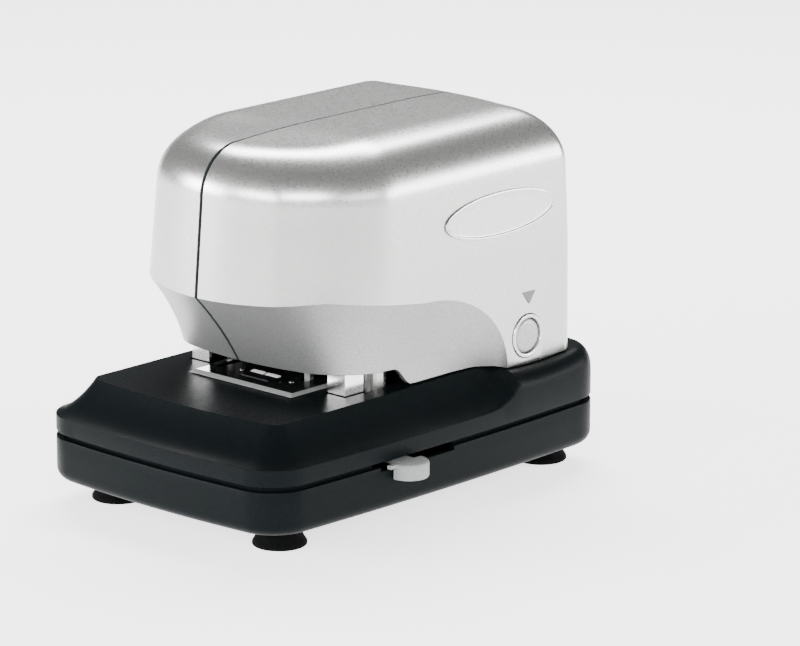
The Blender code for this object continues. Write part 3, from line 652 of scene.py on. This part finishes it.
def groove_tool(outer):
    """A ribbon that follows the seam, from a little under the surface to a little above it."""
    line = [Vector(p) for p in seam_line(outer)]
    line = [line[0] + (line[0] - line[1]).normalized() * 3, *line]
    loops = []
    for i, point in enumerate(line):
        before, after = line[max(i - 1, 0)], line[min(i + 1, len(line) - 1)]
        along = (after - before).normalized()
        normal = Vector((-along.y, along.x))
        half = groove_half_width(point.x)
        low, high = point - normal * GROOVE_DEPTH, point + normal * 2.0
        loops.append([(-half, *low), (half, *low), (half, *high), (-half, *high)])
    return solid("tool", *skin(loops))


def head_grids():
    """Rows from the top's middle line out and down to the lower edge, then up inside to the top."""
    crown_shares = (0.0, 0.03, 0.1, 0.25, 0.45, 0.65, 0.82, 0.94)
    outer = [crown_loop(s) for s in crown_shares]
    outer += [fillet_section(a) for a in range(90, -1, -6)]
    outer += [wall_section(s) for s in (0.8, 0.55, 0.3, 0.14)]
    outer += [skirt_loop(s) for s in (0.0, 0.03, 0.1, 0.25, 0.4, 0.55, 0.7, 0.85, 0.96, 0.99)]
    edge = [skirt_loop(1.0, 0.35), skirt_loop(1.0, WALL - 0.4)]
    inner = [skirt_loop(s, WALL) for s in (0.98, 0.5, 0.03)]
    inner += [wall_section(s, WALL) for s in (0.1, 1.0)]
    inner += [fillet_section(a, WALL) for a in (20, 40, 60, 80, 90)]
    inner.append([(0.0, y, z) for x, y, z in inner[-1]])
    return outer, edge, inner


def half_shell(sign):
    """One closed half of the head: a sheet that runs from outside to inside, and its flat seam face."""
    outer, edge, inner = head_grids()
    rows = outer + edge + inner
    rows = [[(sign * max(x, SEAM), y, z) for x, y, z in row] for row in rows]
    shape = bmesh.new()
    verts = [[shape.verts.new(p) for p in row] for row in rows]
    for upper, lower in zip(verts, verts[1:]):
        for i in range(len(upper) - 1):
            shape.faces.new((upper[i], upper[i + 1], lower[i + 1], lower[i]))
    bmesh.ops.remove_doubles(shape, verts=shape.verts, dist=0.02)
    bmesh.ops.dissolve_degenerate(shape, edges=shape.edges, dist=0.01)
    rim = [edge for edge in shape.edges if edge.is_boundary]
    flat = bmesh.ops.holes_fill(shape, edges=rim, sides=0)["faces"]
    bmesh.ops.triangulate(shape, faces=flat)
    bmesh.ops.recalc_face_normals(shape, faces=shape.faces)
    shape.verts.index_update()
    points = [tuple(v.co) for v in shape.verts]
    faces = [[v.index for v in face.verts] for face in shape.faces]
    shape.free()
    return points, faces


def close_pinholes(shell):
    """Fills the pinholes that cutting the seam's groove leaves, and drops the faces without area."""
    shape = bmesh.new()
    shape.from_mesh(shell.data)
    bmesh.ops.dissolve_degenerate(shape, dist=1e-7, edges=shape.edges)
    bmesh.ops.holes_fill(shape, edges=[edge for edge in shape.edges if edge.is_boundary], sides=4)
    bmesh.ops.recalc_face_normals(shape, faces=shape.faces)
    shape.to_mesh(shell.data)
    shape.free()


def paint_head(shell):
    """Darker grained paint below the crease, partly painted shade, and a painted shadow in the seam's
    groove, each by where a face lies.
    """
    shell.data.materials.append(SEAM_PAINTED_SHADOW)
    shell.data.materials.append(SILVER_GRAIN_AND_SHADE)
    painted_seam_shadow, skirt_grain_and_shade = 1, 2
    for face in shell.data.polygons:
        y, z = face.center.y / MM - FRONT_Y, face.center.z / MM
        # Below the crease: coarser grain, with painted shade in the darker colour.
        if y < SWEEP_Y + SWEEP_REACH and z < crease_height(y) - 0.2:
            face.material_index = skirt_grain_and_shade
        # The groove's faces get the painted shadow.
        if abs(face.center.x / MM - MIDDLE_X) < groove_half_width(y) + 0.02:
            face.material_index = painted_seam_shadow


def make_head():
    """The two head shells with the drawer's opening, the button's hole and the seam's groove."""
    for word, sign in SIDES:
        points, faces = half_shell(sign)
        stands_for = ["head_shell_" + word]
        shell = piece("head_" + word, points, faces, SILVER, "base", "silver_paint", stands_for, SHARP_HEAD)
        tools = [box_tool(*DRAWER_HOLE), groove_tool(head_grids()[0])]
        if sign > 0:
            tools.append(rod_tool("X", BUTTON_Y, BUTTON_Z, BUTTON_HOLE_R, 50, 60))
        cut(shell, *tools)
        close_pinholes(shell)
        shell.data.shade_smooth()
        sharpen(shell, SHARP_HEAD)
        paint_head(shell)


# ---------------------------------------------------------------- base


def base_outline(inset):
    """The base's plan outline, drawn in by inset all round."""
    bows = (3.5, 3.0 * (1 - inset / 20), 2.0)
    corner = max(BASE_CORNER - inset * 0.65, 4)
    half = BASE_HALF_WIDTH - inset
    return half_outline(half, inset, BASE_LENGTH - inset, bows, (corner, corner), BASE_SHARES)


def base_loop(inset, height):
    """The whole outline of the base at a height."""
    return mirrored([(x, y, height) for x, y in base_outline(inset)])


def scoop_end(y):
    """How far the side has risen from the scoop, 0, to the rear shoulder, 1, as a quarter circle."""
    share = min(max((y - SCOOP_END_Y) / SCOOP_RISE, 0.0), 1.0)
    return 1 - math.sqrt(1 - share * share)


def table_height(y):
    """The table is level in front and dips a little where the head's side walls stand."""
    if y < 126:
        return TABLE_Z
    return TABLE_Z - 1.9 * math.sin(math.pi * min((y - 126) / 50.0, 1.0))


def cover_point(outer, inner, share):
    """A point between the base's outline and the table's edge: scoop in front, round shoulder behind."""
    x = outer[0] + (inner[0] - outer[0]) * share
    y = outer[1] + (inner[1] - outer[1]) * share
    top = table_height(y)
    hollow = BAND_TOP + (top - BAND_TOP) * (0.30 * share + 0.70 * share**1.9)
    inward = min(share * 2.1, 1.0)
    shoulder = 38.5 + (top - 38.5) * math.sqrt(1 - (1 - inward) ** 2)
    rise = scoop_end(outer[1])
    return x, y, hollow + (shoulder - hollow) * rise


def table_outline(inset=0.0):
    """The half outline of the table that the base's top rises to."""
    return half_outline(
        BASE_HALF_WIDTH - TABLE_INSET - inset, 14.3 + inset, BASE_LENGTH - 9.0 - inset,
        (3.0, 0.0, 2.0), (5.0, 5.0), BASE_SHARES,
    )


def make_tub():
    """The base's lower half, rounded below, with its rim stepped in at the seam."""
    loops = [base_loop(2.5, level) for level in (11.5, TUB_TOP - 0.4)]
    loops += [base_loop(2.1, TUB_TOP), base_loop(0.5, TUB_TOP)]
    loops += [base_loop(0.15, TUB_TOP - 0.15), base_loop(0, TUB_TOP - 0.5), base_loop(0, 20.0)]
    steps, bottom_round = 7, 5.0
    for i in range(steps + 1):
        turn = math.pi / 2 * i / steps
        inset, rise = bottom_round * (1 - math.cos(turn)), bottom_round * (1 - math.sin(turn))
        loops.append(base_loop(inset, TUB_BOTTOM + rise))
    points, faces = skin(loops, twin=True)
    tub = piece("tub", points, faces, BLACK, "base", "black_plastic", ["base_tub"])
    tools = [box_tool(*KNOB_SLOT)]
    tools += [box_tool((left, 180, 12.3), (right, 200, 25.2)) for left, right in (INLET_X, ROCKER_X)]
    tools += [rod_tool("Z", x, y, FOOT_BORE, 5, 20, 20) for x, y in FEET.values()]
    cut(tub, *tools)
    sharpen(tub, SHARP)


def make_cover():
    """The base's upper half: its scooped and shouldered top, the lip in the tub, and the inside."""
    outer, edge = base_outline(0), table_outline()
    shares = [1.0, 0.97, 0.93] + [0.9 - 0.9 * i / 16 for i in range(16)] + [0.02, 0.0]
    top = [mirrored([cover_point(o, i, s) for o, i in zip(outer, edge)]) for s in shares]
    low = [base_loop(0, BAND_LOW + 0.5), base_loop(0.15, BAND_LOW + 0.15), base_loop(0.5, BAND_LOW)]
    lip = [base_loop(2.8, BAND_LOW), base_loop(2.8, 22.5), base_loop(4.6, 22.5), base_loop(4.6, 30.0)]
    inside_outline, ceiling = base_outline(3.0), table_outline(2.0)
    inside = []
    for share in (0.3, 0.6, 1.0):
        loop = [cover_point(o, i, share) for o, i in zip(inside_outline, ceiling)]
        inside.append(mirrored([(x, y, z - 2.5) for x, y, z in loop]))
    points, faces = skin(top + low + lip + inside, twin=True)
    cover = piece("cover", points, faces, BLACK, "base", "black_plastic", ["base_cover"], SHARP_COVER)
    tools = [box_tool(*KNOB_NOTCH), box_tool(*MECHANISM_HOLE)]
    tools += [box_tool((left, 180, 20), (right, 188.5, 25.4)) for left, right in (INLET_X, ROCKER_X)]
    tools.append(box_tool(*THROAT_HOLE))
    slot_front, slot_back = STOP_SLOT_Y
    for _, sign in SIDES:
        left, right = sign * STOP_SLOT_X - STOP_SLOT_HALF, sign * STOP_SLOT_X + STOP_SLOT_HALF
        tools.append(box_tool((left, slot_front, 40), (right, slot_back, 60)))
    cut(cover, *tools)
    sharpen(cover, SHARP_COVER)


def make_feet():
    """Rubber feet, narrow in the middle and flared to a flat sole."""
    profile = [(4.4, 0), (9.9, 0), (10.3, 0.4), (10.3, 1.3), (9.6, 2.4), (8.8, 3.8), (8.4, 5.4), (8.3, 7.2)]
    profile += [(8.5, 8.3), (8.1, 8.7), (FOOT_BORE, 8.7), (FOOT_BORE, 4.0), (4.4, 4.0)]
    for where, (x, y) in FEET.items():
        stands_for = ["foot_" + where]
        turned("sole_" + where, profile, "Z", x, y, RUBBER, "base", "rubber", stands_for, 56, ring=True)


# ---------------------------------------------------------------- button, badge, knob, plate


def make_button():
    """A slightly domed round button in a thin ring."""
    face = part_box("push_button")[1].x / MM - MIDDLE_X
    profile = [(0.01, face), (4.0, face - 0.05), (5.6, face - 0.15), (6.3, face - 0.4), (6.7, face - 0.9)]
    profile += [(BUTTON_R, face - 1.5), (BUTTON_R, 51), (1.5, 51), (1.5, 44)]
    axis = ("X", BUTTON_Y, BUTTON_Z)
    turned("button_cap", profile, *axis, SILVER_GRAIN_AND_SHADE, "button", "silver_paint", ["push_button"])
    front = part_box("button_bezel")[1].x / MM - MIDDLE_X
    ring = [(7.1, 53.4), (8.6, 53.4), (8.6, front - 0.35), (8.4, front - 0.08), (8.1, front), (7.6, front)]
    ring += [(7.25, front - 0.15), (7.1, front - 0.5)]
    turned("button_ring", ring, *axis, SILVER_SMOOTH, "base", "silver_paint", ["button_bezel"], ring=True)


def oval(longer, taller, off, segments=96):
    """The badge's outline made longer and taller, at a distance off the head's side wall."""
    loop = []
    for i in range(segments):
        turn = 2 * math.pi * i / segments
        y = BADGE_Y + (BADGE_LONG + longer) * math.cos(turn)
        z = BADGE_Z + (BADGE_TALL + taller) * math.sin(turn)
        loop.append((side_wall(z) + off, y, z))
    return loop


def make_badge():
    """An oval plate with a raised rim and a slightly dished, brighter face. It carries no mark."""
    loops = [oval(0, 0, 0.3), oval(0, 0, 0.55), oval(-0.15, -0.15, 0.8), oval(-0.5, -0.5, 0.9)]
    loops += [oval(-0.9, -0.9, 0.85), oval(-1.2, -1.2, 0.6), oval(-1.6, -1.6, 0.52)]
    loops += [oval(-BADGE_LONG * s, -BADGE_TALL * s, 0.52) for s in (0.35, 0.6, 0.8, 0.95)]
    piece("badge", *skin(loops), SILVER_SMOOTH, "base", "silver_paint", ["badge_plate"], SHARP_BADGE)


def make_mark():
    """A plain triangle that points down to the button, in place of lettering."""
    outline = [(149.0, 70.2), (145.4, 75.2), (152.6, 75.2)]
    soft = rounded_profile(outline, 0.5)
    loops = [[(HEAD_HALF_WIDTH + off, y, z) for y, z in soft] for off in (-0.1, 0.08)]
    piece("button_mark", *skin(loops), DARK_PRINT, "base", "grey_plastic")


def make_plate():
    """The throat's plate: pale bevelled edges round a glossy face with a sunk, dark floor."""
    low, high, sunk = TABLE_Z + 0.3, TABLE_Z + 1.4, TABLE_Z + 0.75
    outer = [(-27, 48), (27, 48), (27, 91), (-27, 91)]
    inner = [(-25.5, 50), (25.5, 50), (25.5, 91), (-25.5, 91)]
    loops = [[(x, y, low) for x, y in outer], [(x, y, low + 0.2) for x, y in outer]]
    loops += [[(x, y, high) for x, y in inner]]
    plate = piece("plate", *skin(loops), BLACK_GLOSS, "base", "plate_paint", ["anvil_plate"], SHARP_PLATE)
    cut(plate, box_tool((-23.5, 57.5, sunk), (23.5, 92, 60)), box_tool((-7.6, 55.5, 40), (7.6, 63.5, 60)),
        box_tool((11.5, 66, 40), (16.5, 89, 60)))
    plate.data.materials.append(BEVEL_GREY)
    for face in plate.data.polygons:
        x, y = face.center.x / MM - MIDDLE_X, face.center.y / MM - FRONT_Y
        outside = abs(x) > PLATE_HALF_WIDTH or y < PLATE_FRONT_Y
        if outside and face.normal.z > -0.1:
            face.material_index = 1
    sharpen(plate, SHARP_PLATE)
    rivet = ((0.01, 0.55), (0.7, 0.5), (1.15, 0.3), (1.2, 0.05), (0.01, 0.05))
    head = [(radius, sunk + rise) for radius, rise in rivet]
    for word, sign in SIDES:
        axis = ("Z", sign * 13.0, 62.6)
        turned("plate_rivet_" + word, head, *axis, CHROME, "base", "bright_steel", segments=20)


def make_anvil_ridge():
    """The lip behind the staple slot, with its small notch in the middle, in near-white steel that is a
    painted highlight.
    """
    low, high = TABLE_Z + 1.62, TABLE_Z + 2.1
    outline = [(60.9, low), (62.9, low), (62.9, high), (62.3, high)]
    for word, sign in SIDES:
        ends = sorted((sign * 0.5, sign * 7.1))
        loops = [[(x, y, z) for y, z in outline] for x in ends]
        piece("anvil_ridge_" + word, *skin(loops), RIDGE_PAINTED_GLINT, "base", "bright_steel")


def make_knob():
    """The half-round grip with a soft edge, its stem and a thin tab that runs forward over the slot."""
    centre_y, radius, start, reach = 70.5, 7.8, 65.6, 8.2
    low, high = 20.7, KNOB_TOP
    arc = [math.radians(-90 + 180 * i / 32) for i in range(33)]

    def ring(shrink, z):
        along, across = reach - shrink, radius - shrink
        return [(start + along * math.cos(a), centre_y + across * math.sin(a), z) for a in arc]

    loops = [ring(0.9, low), ring(0.4, low + 0.15), ring(0.1, low + 0.5), ring(0, low + 1.0)]
    loops += [ring(0, high - 1.0), ring(0.1, high - 0.5), ring(0.4, high - 0.15), ring(0.9, high)]
    knob = piece("knob", *skin(loops), GREY, "depth_guide", "grey_plastic", ["depth_knob"], SHARP_KNOB)
    stem = box_tool((48.4, 66.6, KNOB_SLOT_Z + 0.3), (start + 1, 74.4, KNOB_TOP - 0.2))
    combine(knob, stem, "UNION")
    sharpen(knob, SHARP_KNOB)
    tab = box_tool((65.1, 59.8, KNOB_TOP - 1.4), (67.0, 66.0, KNOB_TOP - 0.1))
    combine(knob, tab, "UNION")
    sharpen(knob, SHARP_KNOB)
    for word, sign in (("front", -1), ("back", 1)):
        tip = centre_y + sign * 4.6
        mark = [(start + 2.6, tip - sign * 1.6), (start + 4.8, tip - sign * 1.6), (start + 3.7, tip)]
        loops = [[(x, y, z) for x, y in mark] for z in (high - 0.1, high + 0.18)]
        piece("knob_arrow_" + word, *skin(loops), GREY, "depth_guide", "grey_plastic")


def make_springs():
    """The driver's two return springs, built as still coils; the real ones shorten from the top as the
    driver comes down.
    """
    wire, radius, turns, per_turn, sides = 0.45, 1.8, 7, 24, 10
    low, high = SPRING_LOW, SPRING_HIGH
    for word, sign in SIDES:
        loops = []
        for i in range(turns * per_turn + 1):
            angle = 2 * math.pi * i / per_turn
            middle = low + wire + (high - low - 2 * wire) * i / (turns * per_turn)
            loop = []
            for around, rise in circle(0, 0, wire, sides):
                reach = radius + around
                x, y = sign * SPRING_X + reach * math.cos(angle), SPRING_Y + reach * math.sin(angle)
                loop.append((x, y, middle + rise))
            loops.append(loop)
        node = "return_spring_" + word
        spring = piece("coil_" + word, *skin(loops), STEEL, "base", "steel", [node])
        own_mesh(spring)


def soften_edges():
    """Small bevels on the square CAD pieces that show, so that their edges catch light."""
    widths = {
        "paper_stop_left": 0.3, "paper_stop_right": 0.3, "anvil_insert": 0.15, "cartridge_drawer": 0.5,
        "power_inlet": 0.4, "switch_housing": 0.4, "power_rocker": 0.4, "guide_carriage": 0.2,
        "sensor_lever": 0.3, "driver_block": 0.3, "guide_post_left": 0.4, "guide_post_right": 0.4,
    }
    for name, width in widths.items():
        bevel = frame["nodes"][name].modifiers.new("soft_edges", "BEVEL")
        bevel.width = width * MM
        bevel.segments = 2
        bevel.limit_method = "ANGLE"
        bevel.angle_limit = math.radians(40)


# ---------------------------------------------------------------- stage, light, camera


def make_floor():
    """A white floor that gives light, as the photograph's ground does."""
    size = FLOOR_SIZE
    corners = [(-size, -size, 0), (size, -size, 0), (size, size, 0), (-size, size, 0)]
    mesh = bpy.data.meshes.new("floor")
    mesh.from_pydata(corners, [], [(0, 1, 2, 3)])
    floor = bpy.data.objects.new("floor", mesh)
    bpy.context.scene.collection.objects.link(floor)
    made = material("floor", (0.93, 0.93, 0.93), 0.9, Emission_Color=(1, 1, 1, 1), Emission_Strength=2.0)
    mesh.materials.append(made)


def area_light(name, where, aim, size, power):
    """A light panel of a width and height, turned to a point."""
    data = bpy.data.lights.new(name, "AREA")
    data.shape = "RECTANGLE"
    data.size, data.size_y = size
    data.energy = power
    light = bpy.data.objects.new(name, data)
    bpy.context.scene.collection.objects.link(light)
    light.location = where
    light.rotation_mode = "QUATERNION"
    light.rotation_quaternion = (Vector(aim) - Vector(where)).to_track_quat("-Z", "Y")


def make_light():
    """A dim white sky and the light panels."""
    world = bpy.data.worlds.new("studio")
    world.use_nodes = True
    sky = world.node_tree.nodes["Background"]
    sky.inputs["Color"].default_value = (1, 1, 1, 1)
    sky.inputs["Strength"].default_value = WORLD_STRENGTH
    bpy.context.scene.world = world
    for name, direction, away, size, power in PANELS:
        where = Vector(direction).normalized() * away
        area_light(name, where, (0, 0, 0.08), size, power)


def make_camera():
    """The photograph's camera: on the object's right, in front, a little above."""
    azimuth, elevation = math.radians(CAMERA_AZIMUTH), math.radians(CAMERA_ELEVATION)
    level = math.cos(elevation)
    right = Vector((math.cos(azimuth), math.sin(azimuth), 0))
    back = Vector((math.sin(azimuth) * level, -math.cos(azimuth) * level, math.sin(elevation)))
    data = bpy.data.cameras.new("camera")
    data.lens = CAMERA_LENS
    data.sensor_width = CAMERA_SENSOR
    camera = bpy.data.objects.new("camera", data)
    bpy.context.scene.collection.objects.link(camera)
    aim = place(CAMERA_AIM) + right * CAMERA_ASIDE * MM
    camera.location = aim + back * CAMERA_DISTANCE
    camera.rotation_mode = "QUATERNION"
    camera.rotation_quaternion = (-back).to_track_quat("-Z", "Y")
    data.clip_start, data.clip_end = 0.05, 20.0
    bpy.context.scene.camera = camera


dress_cad_nodes()
make_head()
make_tub()
make_cover()
make_feet()
make_button()
make_badge()
make_mark()
make_plate()
make_anvil_ridge()
make_knob()
make_springs()
soften_edges()
make_floor()
make_light()
make_camera()
